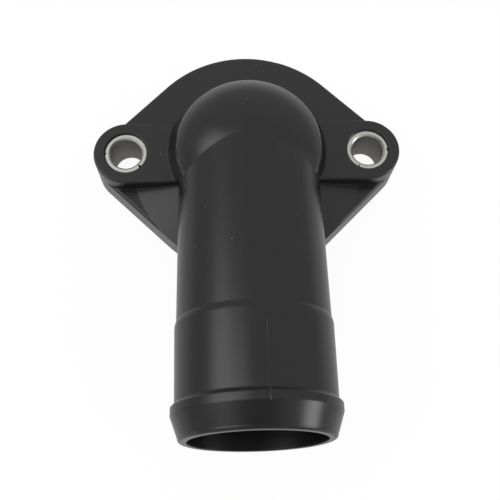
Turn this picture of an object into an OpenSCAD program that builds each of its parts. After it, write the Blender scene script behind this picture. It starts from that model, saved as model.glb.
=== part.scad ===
// Coolant flange: an elbow outlet moulded in one piece with a two-bolt plate.
// Origin at the centre of the mounting face, +Z away from the engine, bolts along X, hose pipe towards -Y.

/* [Plate] */
// Radius of the plate's round middle
plate_r = 26; // [24:0.5:30]
// Thickness of the plate
plate_t = 6.9; // [6:0.1:9]
// Radius of the rounded front edge of the plate
plate_edge_r = 0.6; // [0.2:0.1:1.2]
// Slope of the plate's round middle in front of the pads, up towards the elbow, in degrees
apron_slope = 10; // [4:1:16]
// Height that the plate gains on that slope
apron_rise = 1.8; // [0.5:0.1:2.5]

/* [Bolt pads] */
// Distance between the two bolts
bolt_spacing = 54; // [50:1:64]
// Half the width of the raised pads, and the radius of the lugs around the bolts
pad_r = 7.15; // [6.4:0.05:9]
// Height of the pads above the mounting face
pad_top = 10.7; // [9.5:0.1:13]
// Radius of the rounded edge around the pads
pad_edge_r = 0.4; // [0.2:0.1:0.8]

/* [Compression sleeves] */
// Outside diameter of a sleeve
sleeve_d = 9.2; // [8:0.1:10.4]
// Bore of a sleeve, clear of the bolt
sleeve_bore_d = 7; // [5.4:0.1:7.2]
// Depth of the sleeve's end below the face of the pad
sleeve_recess = 0.45; // [0:0.05:1]
// Width of the chamfers on a sleeve's ends
sleeve_chamfer = 0.3; // [0.1:0.05:0.4]
// Width of the open seam along a sleeve
sleeve_seam_w = 0.3; // [0.1:0.05:0.6]
// Turn of the left sleeve's seam from straight towards the elbow, in degrees
left_seam_turn = 44; // [0:1:90]
// Turn of the right sleeve's seam from straight towards the elbow, in degrees
right_seam_turn = 60; // [0:1:90]
// Width of the nick in a sleeve's outer rim
nick_w = 0.7; // [0.3:0.1:1.2]
// Depth of the nick into the sleeve's wall
nick_depth = 0.35; // [0.1:0.05:0.5]
// Height of the nick down from the sleeve's end
nick_h = 0.8; // [0.3:0.1:2]
// Gap between a sleeve and its pocket
sleeve_gap = 0.05; // [0:0.01:0.15]
// Width of the lead-in chamfer at the mouth of a sleeve's pocket
pocket_chamfer = 0.25; // [0.1:0.05:0.5]

/* [Elbow] */
// Height of the pipe's axis above the centre of the mounting face
pipe_axis_z = 15.6; // [15:0.1:19]
// Rise of the pipe towards its mouth, in degrees
pipe_tilt = 3.7; // [0:0.1:8]
// How much larger the radius of the elbow's upright wall is than that of the pipe where it starts
elbow_more = 0.5; // [0.2:0.05:1.2]
// Distance of the elbow's axis ahead of the flange's axis
elbow_at = 4.25; // [2:0.05:5]
// How much larger the radius of the domed crown is than that of the wall
crown_more = 3; // [2:0.1:6]
// Height of the crown above the top of the pipe where the pipe starts
crown_over = 0.4; // [0.2:0.05:1]
// Radius of the rounded edge between the wall and the crown
crown_edge_r = 3.5; // [1:0.1:6]
// How much larger the radius of the neck round the flange's axis is than that of the elbow's wall
neck_more = 0.05; // [0:0.05:0.5]
// Height at which the neck starts to lean in towards the crown
neck_h = 9; // [8:0.1:11]
// Lean of the neck's wall, in degrees
neck_lean = 19; // [15:0.5:24]
// Height over which the neck leans in
neck_rise = 11; // [8:0.1:12]
// Radius of the round feet that join the elbow to the pads
foot_r = 17.65; // [17:0.05:20]
// Lean of the feet's wall above the pads, in degrees
foot_lean = 29; // [27:0.5:32]
// Height of the feet above the pads
foot_rise = 6; // [5:0.1:8]

/* [Pipe] */
// Outside radius of the pipe where it leaves the elbow
pipe_root_r = 14.8; // [14.5:0.05:15.2]
// Outside radius of the pipe at the shoulder
pipe_end_r = 15.35; // [15:0.05:15.8]
// Distance along the pipe's axis from the flange's axis to the end inside the elbow
pipe_from = 2.8; // [2:0.1:3.2]
// Distance of the shoulder from the flange's axis
shoulder_at = 41; // [36:0.5:44]
// Height of the shoulder, from the pipe up to the seat for the hose
shoulder_rise = 0.35; // [0.2:0.05:1]
// Length of the rounded shoulder
shoulder_len = 1.4; // [0.8:0.1:3]

/* [Hose bead] */
// Distance of the bead's back slope from the flange's axis
bead_at = 56.9; // [54:0.1:62]
// Length of the back slope
bead_rise_len = 0.8; // [0.5:0.1:2]
// Height of the bead above the seat for the hose
bead_rise = 0.8; // [0.5:0.05:1.5]
// Length of the bead's crest
bead_crest_len = 1.5; // [1:0.1:3]
// How much smaller the outside radius of the mouth is than that of the hose's seat
mouth_taper = 0.6; // [0.2:0.05:1.2]
// Distance of the mouth from the flange's axis
mouth_at = 64; // [62.5:0.1:70]
// Radius of the rounded lip
lip_r = 0.7; // [0.3:0.1:0.8]

/* [Water passage] */
// Thickness of the elbow's wall at the port
elbow_wall = 2.7; // [2:0.1:3.5]
// Depth of the straight port, from the mounting face to where the passage leans in
port_depth = 9; // [8:0.1:11]
// Thickness of the pipe's wall where the pipe leaves the elbow
pipe_wall = 2.2; // [1.8:0.1:3]
// Thickness of the pipe's wall at the mouth
mouth_wall = 1.7; // [1.7:0.1:2.5]

/* [Seal] */
// Distance of the seal's centreline outside the port
seal_out = 4.8; // [4:0.1:6]
// Width of the seal
seal_w = 3; // [2:0.1:3.6]
// Depth of the groove for the seal
groove_depth = 2.4; // [1.6:0.1:3]
// Gap on each side of the seal in its groove
seal_side_gap = 0.2; // [0.05:0.05:0.4]
// Radius of the seal's rounded edges
seal_edge_r = 0.9; // [0.3:0.1:1]

/* [Hidden] */
$fn = 72;
// Facets of the small rounded edges
edge_fn = 24;
// Overlap of the shoulder's arc with the pipe on both sides of it
join = 0.5;
// Reach of a cutter past the surface that it cuts
past = 1;
bolt_x = bolt_spacing / 2;
sleeve_r = sleeve_d / 2;
sleeve_bore_r = sleeve_bore_d / 2;
sleeve_len = pad_top - sleeve_recess;
pocket_r = sleeve_r + sleeve_gap;
// Angle of the points where the plate's straight edges meet its round ones
tangent_angle = acos((plate_r - pad_r) / bolt_x);
tangent_len = bolt_x * sin(tangent_angle);
elbow_r = pipe_root_r + elbow_more;
neck_r = elbow_r + neck_more;
foot_top_r = foot_r - foot_rise * tan(foot_lean);
neck_top_r = neck_r - neck_rise * tan(neck_lean);
crown_r = elbow_r + crown_more;
crown_top = pipe_axis_z + pipe_root_r + crown_over;
seat_r = pipe_end_r + shoulder_rise;
bead_r = seat_r + bead_rise;
mouth_r = seat_r - mouth_taper;
mouth_bore_r = mouth_r - mouth_wall;
port_r = elbow_r - elbow_wall;
port_top_r = port_r - neck_rise * tan(neck_lean);
turn_r = pipe_root_r - pipe_wall;
seal_r = port_r + seal_out;
// Radius of the arc that rounds the shoulder up to the hose's seat
shoulder_r = (shoulder_rise * shoulder_rise + shoulder_len * shoulder_len) / (2 * shoulder_rise);

// Section of a slab of a given depth and height, its front outer edge rounded; the outer edge is on the Y axis
module edge_section(depth, height, edge_r) {
    translate([-depth, 0])
        square([depth, height - edge_r]);
    translate([-depth, 0])
        square([depth - edge_r, height]);
    translate([-edge_r, height - edge_r])
        circle(edge_r, $fn = edge_fn);
}

// Disc with a rounded front edge
module edged_disc(radius, height, edge_r) {
    rotate_extrude()
        translate([radius, 0])
            edge_section(radius, height, edge_r);
}

// Straight run of the plate's edge, from the middle's tangent point to a lug's
module tangent_edge() {
    rotate([0, 0, tangent_angle])
        translate([plate_r, 0, 0])
            rotate([90, 0, 0])
                linear_extrude(tangent_len)
                    edge_section(pad_r, plate_t, plate_edge_r);
}

module plate() {
    edged_disc(plate_r, plate_t, plate_edge_r);
    for (flip_x = [0, 1])
        for (flip_y = [0, 1])
            mirror([flip_x, 0, 0])
                mirror([0, flip_y, 0])
                    tangent_edge();
}

// Shallow cone on the plate's middle, in front of the pads only, with a sharp edge at its foot
module apron() {
    intersection() {
        union() {
            translate([0, 0, plate_t - plate_edge_r])
                cylinder(h = plate_edge_r, r = plate_r);
            translate([0, 0, plate_t])
                cylinder(h = apron_rise, r1 = plate_r, r2 = plate_r - apron_rise / tan(apron_slope));
        }
        translate([-plate_r, -plate_r, 0])
            cube([2 * plate_r, plate_r, plate_t + apron_rise]);
    }
}

// Raised bar across the plate that carries both sleeves, with round ends
module pads() {
    for (side = [-1, 1])
        translate([side * bolt_x, 0, 0])
            edged_disc(pad_r, pad_top, pad_edge_r);
    rotate([90, 0, 90])
        linear_extrude(bolt_spacing, center = true)
            for (flip = [0, 1])
                mirror([flip, 0])
                    translate([pad_r, 0])
                        edge_section(pad_r, pad_top, pad_edge_r);
}

// Puts its children on the pipe's axis, where +Z runs from above the port to the mouth
module along_pipe() {
    translate([0, 0, pipe_axis_z])
        rotate([90 - pipe_tilt, 0, 0])
            children();
}

// Half section of the elbow: an upright wall, a rounded edge and a domed crown, round the Y axis
module elbow_section() {
    edge_x = elbow_r - crown_edge_r;
    crown_z = crown_top - crown_r;
    edge_rise = sqrt(pow(crown_r - crown_edge_r, 2) - pow(edge_x, 2));
    square([elbow_r, crown_z + edge_rise]);
    translate([edge_x, crown_z + edge_rise])
        circle(crown_edge_r);
    translate([0, crown_z])
        intersection() {
            circle(crown_r);
            polygon([
                [0, 0],
                [2 * edge_x, 2 * edge_rise],
                [0, 2 * crown_r]
            ]);
        }
}

// Outside of the elbow, upright and ahead of the flange's axis
module elbow() {
    translate([0, -elbow_at, 0])
        rotate_extrude()
            elbow_section();
}

// Neck round the flange's axis, which leans in to meet the elbow's wall at the back
module neck() {
    cylinder(h = neck_h, r = neck_r);
    translate([0, 0, neck_h])
        cylinder(h = neck_rise, r1 = neck_r, r2 = neck_top_r);
}

// Round feet from the elbow onto the pads, as wide as the pads
module feet() {
    intersection() {
        union() {
            cylinder(h = pad_top, r = foot_r);
            translate([0, 0, pad_top])
                cylinder(h = foot_rise, r1 = foot_r, r2 = foot_top_r);
        }
        translate([-foot_r, -pad_r, 0])
            cube([2 * foot_r, 2 * pad_r, pad_top + foot_rise]);
    }
}

// Outline of the pipe's outside, radius along X and distance along Y
module pipe_outline() {
    seat_from = shoulder_at + shoulder_len;
    crest_from = bead_at + bead_rise_len;
    crest_to = crest_from + bead_crest_len;
    polygon([
        [0, pipe_from],
        [pipe_root_r, pipe_from],
        [pipe_end_r, shoulder_at],
        [0, shoulder_at]
    ]);
    intersection() {
        translate([seat_r - shoulder_r, seat_from])
            circle(shoulder_r);
        translate([0, shoulder_at - join])
            square([seat_r, seat_from - shoulder_at + 2 * join]);
    }
    polygon([
        [0, seat_from],
        [seat_r, seat_from],
        [seat_r, bead_at],
        [bead_r, crest_from],
        [bead_r, crest_to],
        [mouth_r, mouth_at - lip_r],
        [mouth_r - lip_r, mouth_at],
        [0, mouth_at]
    ]);
    translate([mouth_r - lip_r, mouth_at - lip_r])
        circle(lip_r, $fn = edge_fn);
}

module pipe() {
    along_pipe()
        rotate_extrude()
            pipe_outline();
}

// Passage for the coolant: up from the port, leaning in with the neck, then along the pipe from a round end
module passage() {
    translate([0, 0, -past])
        cylinder(h = port_depth + past, r = port_r);
    translate([0, 0, port_depth])
        cylinder(h = neck_rise, r1 = port_r, r2 = port_top_r);
    along_pipe()
        translate([0, 0, pipe_from]) {
            sphere(turn_r);
            cylinder(h = mouth_at + past - pipe_from, r1 = turn_r, r2 = mouth_bore_r);
        }
}

// Groove for the seal, open at the mounting face
module seal_groove() {
    half_w = seal_w / 2 + seal_side_gap;
    rotate_extrude()
        translate([seal_r - half_w, -past])
            square([2 * half_w, groove_depth + past]);
}

// Pocket for a sleeve, through a lug and chamfered at its mouth
module sleeve_pocket() {
    translate([0, 0, -past])
        cylinder(h = pad_top + 2 * past, r = pocket_r);
    translate([0, 0, pad_top - pocket_chamfer])
        cylinder(h = 2 * pocket_chamfer, r1 = pocket_r, r2 = pocket_r + 2 * pocket_chamfer);
}

module flange_body() {
    color([0.2, 0.2, 0.2])
        difference() {
            union() {
                plate();
                apron();
                pads();
                neck();
                feet();
                elbow();
                pipe();
            }
            passage();
            seal_groove();
            for (side = [-1, 1])
                translate([side * bolt_x, 0, 0])
                    sleeve_pocket();
        }
}

// Rolled sleeve with an open seam and a nick in its rim; the seam's turn is measured from +X
module sleeve(seam_turn) {
    color([0.72, 0.72, 0.69])
        difference() {
            rotate_extrude()
                polygon([
                    [sleeve_bore_r, sleeve_chamfer],
                    [sleeve_bore_r + sleeve_chamfer, 0],
                    [sleeve_r - sleeve_chamfer, 0],
                    [sleeve_r, sleeve_chamfer],
                    [sleeve_r, sleeve_len - sleeve_chamfer],
                    [sleeve_r - sleeve_chamfer, sleeve_len],
                    [sleeve_bore_r + sleeve_chamfer, sleeve_len],
                    [sleeve_bore_r, sleeve_len - sleeve_chamfer]
                ]);
            rotate([0, 0, -seam_turn])
                translate([0, -sleeve_seam_w / 2, -past])
                    cube([sleeve_r + past, sleeve_seam_w, sleeve_len + 2 * past]);
            translate([-sleeve_r - past, -nick_w / 2, sleeve_len - nick_h])
                cube([nick_depth + past, nick_w, nick_h + past]);
        }
}

module sleeve_left() {
    translate([-bolt_x, 0, 0])
        sleeve(left_seam_turn);
}

module sleeve_right() {
    mirror([1, 0, 0])
        translate([-bolt_x, 0, 0])
            sleeve(right_seam_turn);
}

// Seal as it lies when the flange is bolted down, flush with the mounting face
module seal_ring() {
    color([0.1, 0.1, 0.1])
        rotate_extrude()
            translate([seal_r - seal_w / 2, 0]) {
                translate([seal_edge_r, 0])
                    square([seal_w - 2 * seal_edge_r, groove_depth]);
                translate([0, seal_edge_r])
                    square([seal_w, groove_depth - 2 * seal_edge_r]);
                for (x = [seal_edge_r, seal_w - seal_edge_r])
                    for (z = [seal_edge_r, groove_depth - seal_edge_r])
                        translate([x, z])
                            circle(seal_edge_r, $fn = edge_fn);
            }
}

flange_body();
sleeve_left();
sleeve_right();
seal_ring();
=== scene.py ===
"""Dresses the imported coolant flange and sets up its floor, light and camera."""

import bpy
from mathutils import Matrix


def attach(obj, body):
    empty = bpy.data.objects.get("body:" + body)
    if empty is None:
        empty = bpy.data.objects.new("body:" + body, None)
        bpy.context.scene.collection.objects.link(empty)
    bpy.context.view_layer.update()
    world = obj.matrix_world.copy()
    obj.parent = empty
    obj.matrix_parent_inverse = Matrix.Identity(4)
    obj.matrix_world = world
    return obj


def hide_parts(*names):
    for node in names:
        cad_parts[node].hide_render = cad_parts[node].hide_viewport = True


bl_info = {
    "name": "Coolant flange dressing",
    "version": (1, 0, 0),
    "blender": (4, 5, 0),
    "location": "3D View > Sidebar > Coolant flange",
    "description": "Plastic, steel and rubber finishes, sleeves, mould line and studio",
    "category": "Object",
}

from math import cos, pi, radians, sin

import bpy
from bpy.props import FloatProperty, FloatVectorProperty, IntProperty, PointerProperty
from bpy.types import Operator, Panel, PropertyGroup
from mathutils import Matrix, Vector

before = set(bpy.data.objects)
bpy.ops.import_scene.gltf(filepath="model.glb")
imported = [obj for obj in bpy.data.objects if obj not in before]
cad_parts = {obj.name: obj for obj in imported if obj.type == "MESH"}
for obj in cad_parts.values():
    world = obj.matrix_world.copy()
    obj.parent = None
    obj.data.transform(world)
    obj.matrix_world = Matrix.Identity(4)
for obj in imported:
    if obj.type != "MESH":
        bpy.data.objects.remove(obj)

MM = 0.001

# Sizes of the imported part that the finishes, the sleeves and the mould line follow
PAD_TOP = 10.7 * MM
BOLT_X = 27.0 * MM
BORE_RADIUS = 3.5 * MM
SLEEVE_RADIUS = 4.6 * MM
SLEEVE_TOP = 10.25 * MM
PIPE_HEIGHT = 15.6 * MM
PIPE_TILT = radians(3.7)
SEAT_FROM = 42.4 * MM
SEAT_RADIUS = 15.7 * MM
BEAD_RADIUS = 16.5 * MM
BEAD_FROM = 56.9 * MM
BEAD_TO = 57.7 * MM
BEAD_CREST_TO = 59.2 * MM
# What lies nearer to the pipe's axis and further ahead than this is the passage's wall
PASSAGE_RADIUS = 13.6 * MM
PASSAGE_AHEAD = 12.0 * MM

X_AXIS = (1.0, 0.0, 0.0)
Y_AXIS = (0.0, 1.0, 0.0)
Z_AXIS = (0.0, 0.0, 1.0)
WHITE = (1.0, 1.0, 1.0, 1.0)
# Outputs of a Texture Coordinate node: a place on an object, and in a world the way looked
OBJECT_PLACE = 3
WAY_LOOKED = 0


# Node wiring


class Wire:
    """One value in a node tree. Sums, products and comparisons of it add Math nodes."""

    def __init__(self, bench, socket):
        self.bench = bench
        self.socket = socket

    def _math(self, operation, first, second=None):
        values = {0: first} if second is None else {0: first, 1: second}
        return self.bench.node("ShaderNodeMath", {"operation": operation}, values)

    def __add__(self, other):
        return self._math("ADD", self, other)

    def __radd__(self, other):
        return self._math("ADD", other, self)

    def __sub__(self, other):
        return self._math("SUBTRACT", self, other)

    def __rsub__(self, other):
        return self._math("SUBTRACT", other, self)

    def __mul__(self, other):
        return self._math("MULTIPLY", self, other)

    def __rmul__(self, other):
        return self._math("MULTIPLY", other, self)

    def __pow__(self, other):
        return self._math("POWER", self, other)

    def __abs__(self):
        return self._math("ABSOLUTE", self)

    def larger(self, other):
        return self._math("MAXIMUM", self, other)

    def below(self, other):
        return self._math("LESS_THAN", self, other)


class Bench:
    """A node tree being wired."""

    def __init__(self, tree):
        self.tree = tree
        tree.nodes.clear()

    def node(self, kind, settings=None, sockets=None, out=0):
        """Adds a node with its settings and sockets, and returns one of its outputs as a Wire."""
        made = self.tree.nodes.new(kind)
        for name, value in (settings or {}).items():
            setattr(made, name, value)
        for name, value in (sockets or {}).items():
            socket = made.inputs[name]
            if isinstance(value, Wire):
                self.tree.links.new(value.socket, socket)
            else:
                socket.default_value = value
        return Wire(self, made.outputs[out]) if made.outputs else made

    def ramp(self, value, low, high, to_low=0.0, to_high=1.0):
        """value from low to high, eased, as a value from to_low to to_high."""
        sockets = {
            "Value": value,
            "From Min": low,
            "From Max": high,
            "To Min": to_low,
            "To Max": to_high,
        }
        return self.node("ShaderNodeMapRange", {"interpolation_type": "SMOOTHSTEP"}, sockets)

    def blend(self, share, first, second):
        """The colour first where share is 0 and second where it is 1."""
        # A Mix node keeps its colours at inputs 6 and 7 and its mixed colour at output 2
        sockets = {0: share, 6: first, 7: second}
        return self.node("ShaderNodeMix", {"data_type": "RGBA"}, sockets, out=2)

    def dot(self, vector, direction):
        """How far a vector reaches along a fixed direction."""
        sockets = {0: vector, 1: direction}
        return self.node("ShaderNodeVectorMath", {"operation": "DOT_PRODUCT"}, sockets, out=1)

    def noise(self, place, size, detail, rough):
        """Even noise from 0 to 1, in patches about size metres wide."""
        sockets = {"Vector": place, "Scale": 1.0 / size, "Detail": detail, "Roughness": rough}
        return self.node("ShaderNodeTexNoise", {"noise_dimensions": "3D"}, sockets)

    def bump(self, height, depth, normal=None):
        """A normal pushed by height, where 1 stands depth metres out."""
        sockets = {"Height": height, "Distance": depth, "Strength": 1.0}
        if normal is not None:
            sockets["Normal"] = normal
        return self.node("ShaderNodeBump", None, sockets)


def new_material(name):
    """An empty node material and the bench it is wired on."""
    material = bpy.data.materials.new(name)
    material.use_nodes = True
    return material, Bench(material.node_tree)


def dress(node_name, material):
    """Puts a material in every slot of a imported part."""
    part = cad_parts[node_name]
    for slot in part.material_slots:
        slot.material = material


def rgba(colour, share=1.0):
    """A colour as a socket takes it, made darker or lighter by a share."""
    return tuple(min(1.0, part * share) for part in colour) + (1.0,)


# Finishes

POLYMER_IOR = 1.5
# Heights above the pads: tooled plastic up to the first, smooth plastic from the second on
TOOLED_TO = 0.2 * MM
SMOOTH_FROM = 1.2 * MM
# How far the roughness and the shade of the plastic swing
PLASTIC_ROUGHNESS_SWING = 0.06
DARK_FLOW = 0.85
LIGHT_FLOW = 1.15
# How much of the tooled shade shows at the least, and how much more where the grain is high
TOOLED_SHARE = 0.6
TOOLED_GRAIN_SHARE = 0.6
# Shares of a speck's width out to which it is full, and beyond which it is gone
SPECK_FULL = 0.4
SPECK_GONE = 0.6
DUST_SHARE = 0.45
PASSAGE_ROUGHER = 0.08
EDGE_SAMPLES = 6

STEEL_ROUGHNESS_SWING = 0.14
DULL_STEEL = 0.88
CLEAN_STEEL = 1.08
BORE_ROUGHER = 0.2
# Depth of the wall that still counts as the bore's face
BORE_SKIN = 0.03 * MM
# Drawing lines to the metre, across and along the sleeve
DRAWING_LINES = (300.0, 300.0, 9000.0)

BLOOM_SWING = 0.12
DARK_BLOOM = 0.8
LIGHT_BLOOM = 1.3
GRAINS_IN_BLOOM = 12.0
RUBBER_GRAIN_DEPTH = 0.008 * MM


def in_passage(bench, place):
    """1 on the wall of the passage inside the pipe, where the painted shade goes, 0 elsewhere."""
    right = bench.dot(place, X_AXIS)
    above = bench.dot(place, (0.0, sin(PIPE_TILT), cos(PIPE_TILT))) - PIPE_HEIGHT * cos(PIPE_TILT)
    inside = ((right * right + above * above) ** 0.5).below(PASSAGE_RADIUS)
    return inside * bench.dot(place, Y_AXIS).below(-PASSAGE_AHEAD)


def dust_specks(bench, place, finish):
    """1 on a speck of dust, 0 elsewhere."""
    cells = {"voronoi_dimensions": "3D", "feature": "F1"}
    sockets = {"Vector": place, "Scale": 1.0 / finish.dust_spacing}
    away = bench.node("ShaderNodeTexVoronoi", cells, sockets) * finish.dust_spacing
    return bench.ramp(away, SPECK_GONE * finish.dust_size, SPECK_FULL * finish.dust_size)


def black_plastic(name, finish, colour):
    """Moulded nylon: near black and satin, with a tooled plate, slow flow marks, some dust and
    painted shade on the wall inside the pipe.
    """
    material, bench = new_material(name)
    place = bench.node("ShaderNodeTexCoord", out=OBJECT_PLACE)
    tooled = bench.ramp(bench.dot(place, Z_AXIS), PAD_TOP + SMOOTH_FROM, PAD_TOP + TOOLED_TO)
    grain = bench.noise(place, finish.grain_size, 3.0, 0.6)
    flow = bench.noise(place, finish.flow_size, 2.0, 0.5)
    passage = in_passage(bench, place)

    shade = bench.blend(flow, rgba(colour, DARK_FLOW), rgba(colour, LIGHT_FLOW))
    plate_share = tooled * (TOOLED_SHARE + grain * TOOLED_GRAIN_SHARE)
    shade = bench.blend(plate_share, shade, rgba(finish.plate_colour))
    dust = dust_specks(bench, place, finish)
    shade = bench.blend(dust * DUST_SHARE, shade, rgba(finish.dust_colour))
    # Painted shade: the wall inside the pipe takes a darker colour
    shade = bench.blend(passage, shade, rgba(finish.passage_shade_colour))

    swing = (flow - 0.5 + (grain - 0.5)) * PLASTIC_ROUGHNESS_SWING
    rough = finish.roughness + tooled * finish.plate_roughness + swing + passage * PASSAGE_ROUGHER

    edges = bench.node("ShaderNodeBevel", {"samples": EDGE_SAMPLES}, {"Radius": finish.edge_radius})
    normal = bench.bump(grain * (1.0 + tooled), finish.grain_depth, edges)
    sockets = {"Base Color": shade, "Roughness": rough, "Normal": normal, "IOR": POLYMER_IOR}
    shader = bench.node("ShaderNodeBsdfPrincipled", None, sockets)
    bench.node("ShaderNodeOutputMaterial", None, {"Surface": shader})
    return material


def rolled_steel(finish):
    """Plated steel, rolled to a tube: faint lines round the bore, slightly yellow end faces and
    painted shade on the bore's wall.
    """
    material, bench = new_material("rolled_steel")
    place = bench.node("ShaderNodeTexCoord", out=OBJECT_PLACE)
    patches = bench.noise(place, finish.patch_size, 3.0, 0.55)
    stretch = {"Vector": place, "Scale": DRAWING_LINES}
    lines = bench.noise(bench.node("ShaderNodeMapping", None, stretch), 1.0, 2.0, 0.6)
    across = abs(bench.dot(place, X_AXIS)) - BOLT_X
    along = bench.dot(place, Y_AXIS)
    bore = ((across * across + along * along) ** 0.5).below(BORE_RADIUS + BORE_SKIN)

    plated = bench.blend(patches, rgba(finish.colour, DULL_STEEL), rgba(finish.colour, CLEAN_STEEL))
    # Painted shade: the bore's wall takes a darker colour
    colour = bench.blend(bore, plated, rgba(finish.bore_shade_colour))
    rough = finish.roughness + (patches - 0.5) * STEEL_ROUGHNESS_SWING + bore * BORE_ROUGHER
    normal = bench.bump(lines, finish.line_depth, bench.bump(patches, finish.line_depth))
    sockets = {"Base Color": colour, "Metallic": 1.0, "Roughness": rough, "Normal": normal}
    shader = bench.node("ShaderNodeBsdfPrincipled", None, sockets)
    bench.node("ShaderNodeOutputMaterial", None, {"Surface": shader})
    return material


def seal_rubber(finish):
    """Moulded rubber: dark and matt, with a dusty bloom."""
    material, bench = new_material("seal_rubber")
    place = bench.node("ShaderNodeTexCoord", out=OBJECT_PLACE)
    bloom = bench.noise(place, finish.bloom_size, 4.0, 0.6)
    grain = bench.noise(place, finish.bloom_size / GRAINS_IN_BLOOM, 2.0, 0.6)
    colour = bench.blend(bloom, rgba(finish.colour, DARK_BLOOM), rgba(finish.colour, LIGHT_BLOOM))
    rough = finish.roughness + (bloom - 0.5) * BLOOM_SWING
    normal = bench.bump(grain, RUBBER_GRAIN_DEPTH)
    sockets = {"Base Color": colour, "Roughness": rough, "Normal": normal, "IOR": POLYMER_IOR}
    shader = bench.node("ShaderNodeBsdfPrincipled", None, sockets)
    bench.node("ShaderNodeOutputMaterial", None, {"Surface": shader})
    return material


# Sizes and finishes a user can change


class PlasticFinish(PropertyGroup):
    """The moulded body's finish."""

    colour: FloatVectorProperty(
        name="Colour",
        description="Colour of the moulded plastic",
        subtype="COLOR",
        size=3,
        min=0.0,
        max=1.0,
        default=(0.0055, 0.0055, 0.0058),
    )
    roughness: FloatProperty(
        name="Roughness",
        description="Roughness of the moulded surface",
        subtype="FACTOR",
        min=0.05,
        max=1.0,
        default=0.26,
    )
    # Painted highlight: the mould line is coloured lighter than the body so that it shows as a
    # light line
    ridge_highlight_colour: FloatVectorProperty(
        name="Ridge colour",
        description="Colour of the painted_highlight plastic of the mould line",
        subtype="COLOR",
        size=3,
        min=0.0,
        max=1.0,
        default=(0.013, 0.013, 0.013),
    )
    # Painted shade: a darker colour for the wall inside the pipe, where shade falls
    passage_shade_colour: FloatVectorProperty(
        name="Passage colour",
        description="Colour of the smooth wall inside the pipe",
        subtype="COLOR",
        size=3,
        min=0.0,
        max=1.0,
        default=(0.002, 0.002, 0.002),
    )
    plate_colour: FloatVectorProperty(
        name="Plate colour",
        description="Colour of the plate and pads, where the tooled grain scatters more light",
        subtype="COLOR",
        size=3,
        min=0.0,
        max=1.0,
        default=(0.0135, 0.0136, 0.0138),
    )
    plate_roughness: FloatProperty(
        name="Plate roughness",
        description="How much rougher the plate and pads are than the elbow and the pipe",
        subtype="FACTOR",
        min=0.0,
        max=0.5,
        default=0.03,
    )
    dust_colour: FloatVectorProperty(
        name="Dust colour",
        description="Colour of the specks of dust",
        subtype="COLOR",
        size=3,
        min=0.0,
        max=1.0,
        default=(0.35, 0.34, 0.32),
    )
    dust_size: FloatProperty(
        name="Dust size",
        description="Width of a speck of dust",
        subtype="DISTANCE",
        unit="LENGTH",
        min=0.00005,
        default=0.22 * MM,
        precision=5,
    )
    dust_spacing: FloatProperty(
        name="Dust spacing",
        description="Usual distance between the specks of dust",
        subtype="DISTANCE",
        unit="LENGTH",
        min=0.001,
        default=4 * MM,
    )
    grain_size: FloatProperty(
        name="Grain size",
        description="Width of one grain of the tooled surface",
        subtype="DISTANCE",
        unit="LENGTH",
        min=0.00005,
        default=0.35 * MM,
        precision=5,
    )
    grain_depth: FloatProperty(
        name="Grain depth",
        description="Height of the grain of the tooled surface",
        subtype="DISTANCE",
        unit="LENGTH",
        min=0.0,
        default=0.011 * MM,
        precision=6,
    )
    edge_radius: FloatProperty(
        name="Edge radius",
        description="Radius that the moulded edges show in the light",
        subtype="DISTANCE",
        unit="LENGTH",
        min=0.0,
        default=0.3 * MM,
        precision=5,
    )
    flow_size: FloatProperty(
        name="Flow mark size",
        description="Width of the slow marks that the plastic leaves as it fills the mould",
        subtype="DISTANCE",
        unit="LENGTH",
        min=0.001,
        default=9 * MM,
    )


class SteelFinish(PropertyGroup):
    """The compression sleeves' finish."""

    colour: FloatVectorProperty(
        name="Colour",
        description="Colour of the plated steel",
        subtype="COLOR",
        size=3,
        min=0.0,
        max=1.0,
        default=(0.63, 0.63, 0.58),
    )
    # Painted shade: a darker colour for the steel inside the bore, where shade falls
    bore_shade_colour: FloatVectorProperty(
        name="Bore colour",
        description="Colour of the darker steel inside the bore",
        subtype="COLOR",
        size=3,
        min=0.0,
        max=1.0,
        default=(0.26, 0.255, 0.235),
    )
    roughness: FloatProperty(
        name="Roughness",
        description="Roughness of the plated steel",
        subtype="FACTOR",
        min=0.05,
        max=1.0,
        default=0.38,
    )
    patch_size: FloatProperty(
        name="Patch size",
        description="Width of the dull and bright patches in the plating",
        subtype="DISTANCE",
        unit="LENGTH",
        min=0.0001,
        default=1.2 * MM,
        precision=5,
    )
    line_depth: FloatProperty(
        name="Line depth",
        description="Height of the drawing lines on the steel",
        subtype="DISTANCE",
        unit="LENGTH",
        min=0.0,
        default=0.004 * MM,
        precision=6,
    )


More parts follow.
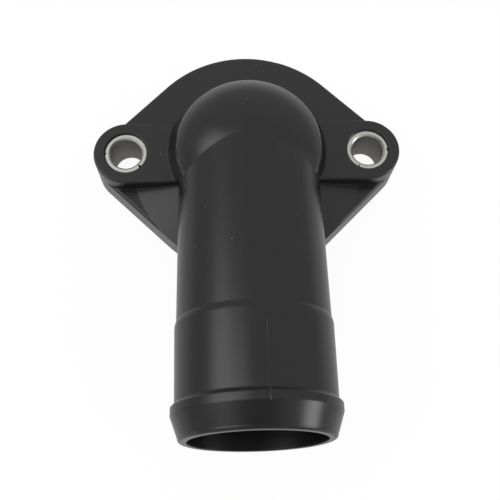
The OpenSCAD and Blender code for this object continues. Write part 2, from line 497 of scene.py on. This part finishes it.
class SleeveSizes(PropertyGroup):
    """The compression sleeves' rims, seams and nicks."""

    rim_bevel: FloatProperty(
        name="Rim bevel",
        description="Width of the bevels on a sleeve's outer rims",
        subtype="DISTANCE",
        unit="LENGTH",
        min=0.00001,
        default=0.06 * MM,
        precision=5,
    )
    bore_chamfer: FloatProperty(
        name="Bore chamfer",
        description="Width of the chamfers at the ends of a sleeve's bore",
        subtype="DISTANCE",
        unit="LENGTH",
        min=0.00001,
        default=0.38 * MM,
        precision=5,
    )
    seam_gap: FloatProperty(
        name="Seam gap",
        description="Width of the seam at the bore",
        subtype="DISTANCE",
        unit="LENGTH",
        min=0.0,
        default=0.04 * MM,
        precision=5,
    )
    nick_depth: FloatProperty(
        name="Nick depth",
        description="Depth of the nick into the wall",
        subtype="DISTANCE",
        unit="LENGTH",
        min=0.0,
        default=0.26 * MM,
        precision=5,
    )
    nick_height: FloatProperty(
        name="Nick height",
        description="Height of the nick down from the rim",
        subtype="DISTANCE",
        unit="LENGTH",
        min=0.0001,
        default=0.8 * MM,
        precision=5,
    )
    left_seam: FloatProperty(
        name="Left seam",
        description="Place of the left sleeve's seam, turned from +X",
        subtype="ANGLE",
        unit="ROTATION",
        default=radians(-45.0),
    )
    left_flare: FloatProperty(
        name="Left flare",
        description="How much wider the left sleeve's seam is outside, at its worn corners",
        subtype="DISTANCE",
        unit="LENGTH",
        min=0.0,
        default=0.7 * MM,
        precision=5,
    )
    left_nick: FloatProperty(
        name="Left nick",
        description="Width of the nick in the left sleeve's outer rim",
        subtype="DISTANCE",
        unit="LENGTH",
        min=0.0001,
        default=0.4 * MM,
        precision=5,
    )
    right_seam: FloatProperty(
        name="Right seam",
        description="Place of the right sleeve's seam, turned from +X",
        subtype="ANGLE",
        unit="ROTATION",
        default=radians(-119.0),
    )
    right_flare: FloatProperty(
        name="Right flare",
        description="How much wider the right sleeve's seam is outside, at its worn corners",
        subtype="DISTANCE",
        unit="LENGTH",
        min=0.0,
        default=0.45 * MM,
        precision=5,
    )
    right_nick: FloatProperty(
        name="Right nick",
        description="Width of the nick in the right sleeve's outer rim",
        subtype="DISTANCE",
        unit="LENGTH",
        min=0.0001,
        default=0.8 * MM,
        precision=5,
    )


class SealFinish(PropertyGroup):
    """The seal ring's finish."""

    colour: FloatVectorProperty(
        name="Colour",
        description="Colour of the rubber",
        subtype="COLOR",
        size=3,
        min=0.0,
        max=1.0,
        default=(0.016, 0.016, 0.017),
    )
    roughness: FloatProperty(
        name="Roughness",
        description="Roughness of the rubber",
        subtype="FACTOR",
        min=0.05,
        max=1.0,
        default=0.55,
    )
    bloom_size: FloatProperty(
        name="Bloom size",
        description="Width of the dusty patches on the rubber",
        subtype="DISTANCE",
        unit="LENGTH",
        min=0.0005,
        default=3 * MM,
        precision=5,
    )


class MouldLineSizes(PropertyGroup):
    """The fine ridge that the mould's halves leave along the hose's seat."""

    turn: FloatProperty(
        name="Turn",
        description="Turn of the line from the top of the pipe towards the right",
        subtype="ANGLE",
        unit="ROTATION",
        default=radians(6.6),
    )
    start: FloatProperty(
        name="Start",
        description="Distance of the line's start from the flange's axis, along the pipe",
        subtype="DISTANCE",
        unit="LENGTH",
        min=SEAT_FROM,
        default=44.5 * MM,
    )
    rod_radius: FloatProperty(
        name="Rod radius",
        description="Radius of the rod whose top stands proud as the line",
        subtype="DISTANCE",
        unit="LENGTH",
        min=0.00005,
        default=0.2 * MM,
        precision=5,
    )
    proud: FloatProperty(
        name="Proud",
        description="Height of the line above the pipe",
        subtype="DISTANCE",
        unit="LENGTH",
        min=0.0,
        default=0.09 * MM,
        precision=5,
    )
    sides: IntProperty(name="Sides", description="Sides of the rod", min=6, max=32, default=12)


class StudioSettings(PropertyGroup):
    """Floor, surround and camera."""

    floor_width: FloatProperty(
        name="Floor width",
        description="Side of the square floor",
        subtype="DISTANCE",
        unit="LENGTH",
        min=0.5,
        default=6.0,
    )
    floor_shadow: FloatProperty(
        name="Floor shadow",
        description="How much of the floor's own shading shows, the rest being plain white",
        subtype="FACTOR",
        min=0.0,
        max=1.0,
        default=0.07,
    )
    floor_near: FloatProperty(
        name="Floor near by",
        description="How bright the floor beside the part shows in its gloss, where 1 is white",
        min=0.0,
        default=0.62,
    )
    floor_far: FloatProperty(
        name="Floor far off",
        description="How bright the floor away from the part shows in its gloss, where 1 is white",
        min=0.0,
        default=0.44,
    )
    surround: FloatProperty(
        name="Surround",
        description="Strength of the white surround, where 1 is white",
        min=0.0,
        default=1.0,
    )
    opening: FloatProperty(
        name="Opening",
        description="Strength of the darker opening in the surround, above the front",
        min=0.0,
        default=0.42,
    )
    left_lamp: FloatProperty(
        name="Left lamp",
        description="Strength of the large soft lamp on the left",
        min=0.0,
        default=2.1,
    )
    high_lamp: FloatProperty(
        name="High lamp",
        description="Strength of the upper end of the left lamp",
        min=0.0,
        default=1.5,
    )
    right_lamp: FloatProperty(
        name="Right lamp",
        description="Strength of the small soft lamp low on the right",
        min=0.0,
        default=4.5,
    )


# The compression sleeves

# Degrees from one section of the wall to the next, and from the seam to the first one
SECTION_STEP = 3
SEAM_STEP = 12
# Turn over which a nick's side runs in, and the height over which its foot does
NICK_SIDE = radians(0.2)
NICK_FOOT = 0.02 * MM
SLEEVE_SHARP = radians(25.0)


def sleeve_section(sizes, shoulder):
    """The sleeve's wall as radius and height, from the bore's lower end round to its upper end."""
    bevel, chamfer = sizes.rim_bevel, sizes.bore_chamfer
    return (
        (BORE_RADIUS, chamfer),
        (BORE_RADIUS + chamfer, 0.0),
        (SLEEVE_RADIUS - bevel, 0.0),
        (SLEEVE_RADIUS, bevel),
        (SLEEVE_RADIUS, shoulder),
        (SLEEVE_RADIUS, shoulder + NICK_FOOT),
        (SLEEVE_RADIUS, SLEEVE_TOP - bevel),
        (SLEEVE_RADIUS - bevel, SLEEVE_TOP),
        (BORE_RADIUS + chamfer, SLEEVE_TOP),
        (BORE_RADIUS, SLEEVE_TOP - chamfer),
    )


def sleeve_turns(nick, half):
    """The sections' turns from the seam round to it, each with whether it is cut by the nick."""
    steps = [radians(step) for step in range(SEAM_STEP, 360 - SEAM_STEP + 1, SECTION_STEP)]
    turns = [(step, False) for step in steps if abs(step - nick) > half + 2.0 * NICK_SIDE]
    turns += [(nick - half, True), (nick + half, True)]
    turns += [(nick - half - NICK_SIDE, False), (nick + half + NICK_SIDE, False)]
    return [(0.0, False)] + sorted(turns) + [(2.0 * pi, False)]


def rolled_sleeve(name, centre, seam, flare, nick, nick_width, sizes):
    """A strip rolled to an upright tube, open at its seam, with a nick in its outer rim."""
    shoulder = SLEEVE_TOP - sizes.nick_height
    section = sleeve_section(sizes, shoulder)
    turns = sleeve_turns((nick - seam) % (2.0 * pi), nick_width / 2.0 / SLEEVE_RADIUS)
    ends = {0: 1.0, len(turns) - 1: -1.0}
    points, faces = [], []
    for place, (step, nicked) in enumerate(turns):
        for radius, height in section:
            outward = (radius - BORE_RADIUS) / (SLEEVE_RADIUS - BORE_RADIUS)
            gap = (sizes.seam_gap + flare * outward**2) / 2.0 / radius
            turn = seam + step + ends.get(place, 0.0) * gap
            if nicked and height > shoulder:
                radius = min(radius, SLEEVE_RADIUS - sizes.nick_depth)
            points.append((centre + radius * cos(turn), radius * sin(turn), height))
    count = len(section)
    for place in range(len(turns) - 1):
        low, high = place * count, (place + 1) * count
        for corner in range(count):
            after = (corner + 1) % count
            faces.append((low + corner, high + corner, high + after, low + after))
    last = (len(turns) - 1) * count
    faces.append(tuple(range(count)))
    faces.append(tuple(range(last + count - 1, last - 1, -1)))
    mesh = bpy.data.meshes.new(name)
    mesh.from_pydata(points, [], faces)
    for face in mesh.polygons:
        face.use_smooth = True
    mesh.set_sharp_from_angle(angle=SLEEVE_SHARP)
    sleeve = bpy.data.objects.new(name, mesh)
    bpy.context.scene.collection.objects.link(sleeve)
    return sleeve


# The mould line

# Lengths over which the line rises out of the seat and sinks in again past the bead's crest
RIDGE_RISE = 1.0 * MM
RIDGE_FALL = 0.4 * MM


def on_pipe(distance, radius, turn):
    """The point at a distance along the pipe, a radius off its axis and a turn from its top."""
    up = radius * cos(turn)
    back = up * sin(PIPE_TILT) - distance * cos(PIPE_TILT)
    height = PIPE_HEIGHT + distance * sin(PIPE_TILT) + up * cos(PIPE_TILT)
    return (radius * sin(turn), back, height)


def ridge_tree(material):
    """Geometry nodes that lay a round rod along a chain of edges."""
    tree = bpy.data.node_groups.new("mould_ridge", "GeometryNodeTree")
    tree.interface.new_socket(name="Path", in_out="INPUT", socket_type="NodeSocketGeometry")
    tree.interface.new_socket(name="Rod radius", in_out="INPUT", socket_type="NodeSocketFloat")
    tree.interface.new_socket(name="Sides", in_out="INPUT", socket_type="NodeSocketInt")
    tree.interface.new_socket(name="Ridge", in_out="OUTPUT", socket_type="NodeSocketGeometry")
    bench = Bench(tree)
    sizes = tree.nodes.new("NodeGroupInput")
    path, radius, sides = (Wire(bench, socket) for socket in list(sizes.outputs)[:3])
    line = bench.node("GeometryNodeMeshToCurve", None, {"Mesh": path})
    circle = {"Resolution": sides, "Radius": radius}
    section = bench.node("GeometryNodeCurvePrimitiveCircle", None, circle)
    sweep = {"Curve": line, "Profile Curve": section, "Fill Caps": True}
    rod = bench.node("GeometryNodeCurveToMesh", None, sweep)
    real = bench.node("GeometryNodeRealizeInstances", None, {"Geometry": rod})
    dressed = {"Geometry": real, "Material": material}
    finished = bench.node("GeometryNodeSetMaterial", None, dressed)
    bench.node("NodeGroupOutput", None, {"Ridge": finished})
    return tree


def mould_line(sizes, material):
    """The ridge as a mesh of its own, along the seat and over the bead's crest."""
    sunk = sizes.rod_radius - sizes.proud
    stops = (
        (sizes.start, SEAT_RADIUS - sizes.rod_radius),
        (sizes.start + RIDGE_RISE, SEAT_RADIUS - sunk),
        (BEAD_FROM, SEAT_RADIUS - sunk),
        (BEAD_TO, BEAD_RADIUS - sunk),
        (BEAD_CREST_TO, BEAD_RADIUS - sunk),
        (BEAD_CREST_TO + RIDGE_FALL, BEAD_RADIUS - 2.0 * sizes.rod_radius),
    )
    points = [on_pipe(distance, radius, sizes.turn) for distance, radius in stops]
    path = bpy.data.meshes.new("mould_path")
    path.from_pydata(points, [(i, i + 1) for i in range(len(points) - 1)], [])
    piece = bpy.data.objects.new("mould_line", path)
    bpy.context.scene.collection.objects.link(piece)
    modifier = piece.modifiers.new("ridge", "NODES")
    modifier.node_group = ridge_tree(material)
    named = {item.name: item.identifier for item in modifier.node_group.interface.items_tree}
    modifier[named["Rod radius"]] = sizes.rod_radius
    modifier[named["Sides"]] = sizes.sides
    evaluated = piece.evaluated_get(bpy.context.evaluated_depsgraph_get())
    piece.data = bpy.data.meshes.new_from_object(evaluated)
    piece.modifiers.clear()
    for face in piece.data.polygons:
        face.use_smooth = True
    return piece


# Stage

# Elevations, in degrees, between which the surround brightens, and its strength at each
SURROUND_LOW = (-15.0, 0.48)
SURROUND_HIGH = (40.0, 0.68)
# Spots in the surround: azimuth, elevation, and how far from there a spot is full and gone
OPENING_SPOT = (5.0, 53.0, 14.0, 37.0)
LEFT_LAMP_SPOT = (-94.0, 43.0, 11.0, 26.0)
HIGH_LAMP_SPOT = (-111.0, 67.0, 7.0, 13.0)
RIGHT_LAMP_SPOT = (73.0, 11.0, 2.0, 18.0)

FLOOR_COLOUR = (0.97, 0.97, 0.97, 1.0)
# The floor lies this far under the mounting face, so that the two never share a plane
FLOOR_DROP = 0.1 * MM
# Distances from the part at which the floor's near and far gloss hold
FLOOR_NEAR_AT = 0.08
FLOOR_FAR_AT = 0.2

# The camera solved from the photograph: how the part turns and shifts into its view, with half the
# distance of the bolts as the unit, and the focal length and the middle of the picture in pixels
VIEW_TURN = (2.8263, -0.0355, 0.0403)
VIEW_SHIFT = (-0.0263, -0.6959, 6.8758)
FOCAL_PIXELS = 787.44
MIDDLE_PIXELS = (0.61, -0.07)
PICTURE_PIXELS = 500.0
SENSOR_WIDTH = 36.0
NEAREST_SEEN = 0.005


def aim(azimuth, elevation):
    """The way to a point of the surround: azimuth 0 is the front, -Y, and 90 the right, +X."""
    flat = cos(radians(elevation))
    return (
        flat * sin(radians(azimuth)),
        -flat * cos(radians(azimuth)),
        sin(radians(elevation)),
    )


def surround_world(studio):
    """A white surround with a darker opening and soft lamps in its gloss, plain to the camera."""
    world = bpy.data.worlds.new("white_surround")
    world.use_nodes = True
    bench = Bench(world.node_tree)
    way = bench.node("ShaderNodeTexCoord", out=WAY_LOOKED)

    def spot(azimuth, elevation, full, gone):
        """1 within full degrees of a point of the surround, 0 beyond gone."""
        along = bench.dot(way, aim(azimuth, elevation))
        return bench.ramp(along, cos(radians(gone)), cos(radians(full)))

    level = bench.ramp(
        bench.dot(way, Z_AXIS),
        sin(radians(SURROUND_LOW[0])),
        sin(radians(SURROUND_HIGH[0])),
        SURROUND_LOW[1] * studio.surround,
        SURROUND_HIGH[1] * studio.surround,
    )
    level = level * (1.0 - spot(*OPENING_SPOT) * (1.0 - studio.opening))
    level = level + spot(*LEFT_LAMP_SPOT) * studio.left_lamp
    level = level + spot(*HIGH_LAMP_SPOT) * studio.high_lamp
    level = level + spot(*RIGHT_LAMP_SPOT) * studio.right_lamp
    rays = bench.tree.nodes.new("ShaderNodeLightPath")
    camera = Wire(bench, rays.outputs["Is Camera Ray"])
    diffuse = Wire(bench, rays.outputs["Is Diffuse Ray"])
    plain = camera.larger(diffuse)
    strength = level * (1.0 - plain) + plain
    sockets = {"Color": WHITE, "Strength": strength}
    background = bench.node("ShaderNodeBackground", None, sockets)
    bench.node("ShaderNodeOutputWorld", None, {"Surface": background})
    bpy.context.scene.world = world


def white_floor(studio):
    """A plain white floor under the part, which keeps a faint shadow."""
    half = studio.floor_width / 2.0
    corners = ((-half, -half), (half, -half), (half, half), (-half, half))
    mesh = bpy.data.meshes.new("floor")
    mesh.from_pydata([(x, y, -FLOOR_DROP) for x, y in corners], [], [(0, 1, 2, 3)])
    floor = bpy.data.objects.new("floor", mesh)
    bpy.context.scene.collection.objects.link(floor)
    material, bench = new_material("white_floor")
    shaded = bench.node("ShaderNodeBsdfDiffuse", None, {"Color": FLOOR_COLOUR})
    rays = bench.tree.nodes.new("ShaderNodeLightPath")
    camera = Wire(bench, rays.outputs["Is Camera Ray"])
    glossy = Wire(bench, rays.outputs["Is Glossy Ray"])
    place = bench.node("ShaderNodeTexCoord", out=OBJECT_PLACE)
    away = bench.dot(place, place) ** 0.5
    gloss = bench.ramp(away, FLOOR_NEAR_AT, FLOOR_FAR_AT, studio.floor_near, studio.floor_far)
    sockets = {"Color": WHITE, "Strength": camera + glossy * gloss}
    white = bench.node("ShaderNodeEmission", None, sockets)
    share = camera.larger(glossy) * (1.0 - studio.floor_shadow)
    mixed = bench.node("ShaderNodeMixShader", None, {0: share, 1: shaded, 2: white})
    bench.node("ShaderNodeOutputMaterial", None, {"Surface": mixed})
    mesh.materials.append(material)


def picture_camera():
    """The camera at the photograph's angle, distance and framing."""
    turn = Vector(VIEW_TURN)
    into_view = Matrix.Rotation(turn.length, 3, turn.normalized())
    out_of_view = into_view.transposed()
    place = -(out_of_view @ (Vector(VIEW_SHIFT) * BOLT_X))
    # The solved view looks along +Z with +Y down, and Blender's camera along -Z with +Y up
    pose = out_of_view @ Matrix(((1, 0, 0), (0, -1, 0), (0, 0, -1)))
    data = bpy.data.cameras.new("picture_camera")
    data.sensor_width = SENSOR_WIDTH
    data.lens = FOCAL_PIXELS * SENSOR_WIDTH / PICTURE_PIXELS
    data.shift_x, data.shift_y = (pixels / PICTURE_PIXELS for pixels in MIDDLE_PIXELS)
    data.clip_start = NEAREST_SEEN
    camera = bpy.data.objects.new("picture_camera", data)
    camera.matrix_world = Matrix.Translation(place) @ pose.to_4x4()
    bpy.context.scene.collection.objects.link(camera)
    bpy.context.scene.camera = camera


# Operators


class FLANGE_OT_dress_body(Operator):
    """Give the moulded body its black plastic"""

    bl_idname = "flange.dress_body"
    bl_label = "Dress the moulded body"

    def execute(self, context):
        finish = context.scene.flange_plastic
        dress("flange_body", black_plastic("black_moulded_plastic", finish, finish.colour))
        return {"FINISHED"}


class FLANGE_OT_add_mould_line(Operator):
    """Add the fine ridge that the mould leaves along the hose's seat"""

    bl_idname = "flange.add_mould_line"
    bl_label = "Add the mould line"

    def execute(self, context):
        finish = context.scene.flange_plastic
        # Painted highlight: the ridge's lighter colour stands in for the light it catches
        plastic = black_plastic("scuffed_ridge_plastic", finish, finish.ridge_highlight_colour)
        piece = mould_line(context.scene.flange_mould_line, plastic)
        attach(piece, "root")
        return {"FINISHED"}


class FLANGE_OT_make_sleeves(Operator):
    """Make both compression sleeves with finer rims and rolled seams, in plated steel"""

    bl_idname = "flange.make_sleeves"
    bl_label = "Make the compression sleeves"

    def execute(self, context):
        steel = rolled_steel(context.scene.flange_steel)
        sizes = context.scene.flange_sleeves
        left = (-BOLT_X, sizes.left_seam, sizes.left_flare, pi, sizes.left_nick)
        right = (BOLT_X, sizes.right_seam, sizes.right_flare, 0.0, sizes.right_nick)
        for name, node, place in (
            ("rolled_sleeve_left", "sleeve_left", left),
            ("rolled_sleeve_right", "sleeve_right", right),
        ):
            sleeve = rolled_sleeve(name, *place, sizes)
            sleeve.data.materials.append(steel)
            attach(sleeve, "root")
            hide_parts(node)
        return {"FINISHED"}


class FLANGE_OT_dress_seal(Operator):
    """Give the seal ring its rubber"""

    bl_idname = "flange.dress_seal"
    bl_label = "Dress the seal ring"

    def execute(self, context):
        dress("seal_ring", seal_rubber(context.scene.flange_seal))
        return {"FINISHED"}


class FLANGE_OT_set_stage(Operator):
    """Set up the floor, the white surround, the lamps and the camera"""

    bl_idname = "flange.set_stage"
    bl_label = "Set the stage"

    def execute(self, context):
        studio = context.scene.flange_studio
        surround_world(studio)
        white_floor(studio)
        picture_camera()
        context.scene.view_settings.view_transform = "Standard"
        return {"FINISHED"}


class FLANGE_PT_dressing(Panel):
    """Lists the flange's operators and finishes"""

    bl_idname = "FLANGE_PT_dressing"
    bl_label = "Coolant flange"
    bl_space_type = "VIEW_3D"
    bl_region_type = "UI"
    bl_category = "Coolant flange"

    def draw(self, context):
        scene = context.scene
        for operator, groups in (
            (FLANGE_OT_dress_body, (scene.flange_plastic,)),
            (FLANGE_OT_add_mould_line, (scene.flange_mould_line,)),
            (FLANGE_OT_make_sleeves, (scene.flange_steel, scene.flange_sleeves)),
            (FLANGE_OT_dress_seal, (scene.flange_seal,)),
            (FLANGE_OT_set_stage, (scene.flange_studio,)),
        ):
            box = self.layout.box()
            box.operator(operator.bl_idname)
            for settings in groups:
                for name in settings.__annotations__:
                    box.prop(settings, name)


CLASSES = (
    PlasticFinish,
    MouldLineSizes,
    SteelFinish,
    SleeveSizes,
    SealFinish,
    StudioSettings,
    FLANGE_OT_dress_body,
    FLANGE_OT_add_mould_line,
    FLANGE_OT_make_sleeves,
    FLANGE_OT_dress_seal,
    FLANGE_OT_set_stage,
    FLANGE_PT_dressing,
)


def register():
    for cls in CLASSES:
        bpy.utils.register_class(cls)
    bpy.types.Scene.flange_plastic = PointerProperty(type=PlasticFinish)
    bpy.types.Scene.flange_mould_line = PointerProperty(type=MouldLineSizes)
    bpy.types.Scene.flange_steel = PointerProperty(type=SteelFinish)
    bpy.types.Scene.flange_sleeves = PointerProperty(type=SleeveSizes)
    bpy.types.Scene.flange_seal = PointerProperty(type=SealFinish)
    bpy.types.Scene.flange_studio = PointerProperty(type=StudioSettings)


def unregister():
    del bpy.types.Scene.flange_studio
    del bpy.types.Scene.flange_seal
    del bpy.types.Scene.flange_sleeves
    del bpy.types.Scene.flange_steel
    del bpy.types.Scene.flange_mould_line
    del bpy.types.Scene.flange_plastic
    for cls in reversed(CLASSES):
        bpy.utils.unregister_class(cls)


def dress_flange():
    """Registers the add-on and makes everything."""
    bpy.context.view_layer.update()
    register()
    bpy.ops.flange.dress_body()
    bpy.ops.flange.add_mould_line()
    bpy.ops.flange.make_sleeves()
    bpy.ops.flange.dress_seal()
    bpy.ops.flange.set_stage()


if __name__ == "__main__":
    dress_flange()
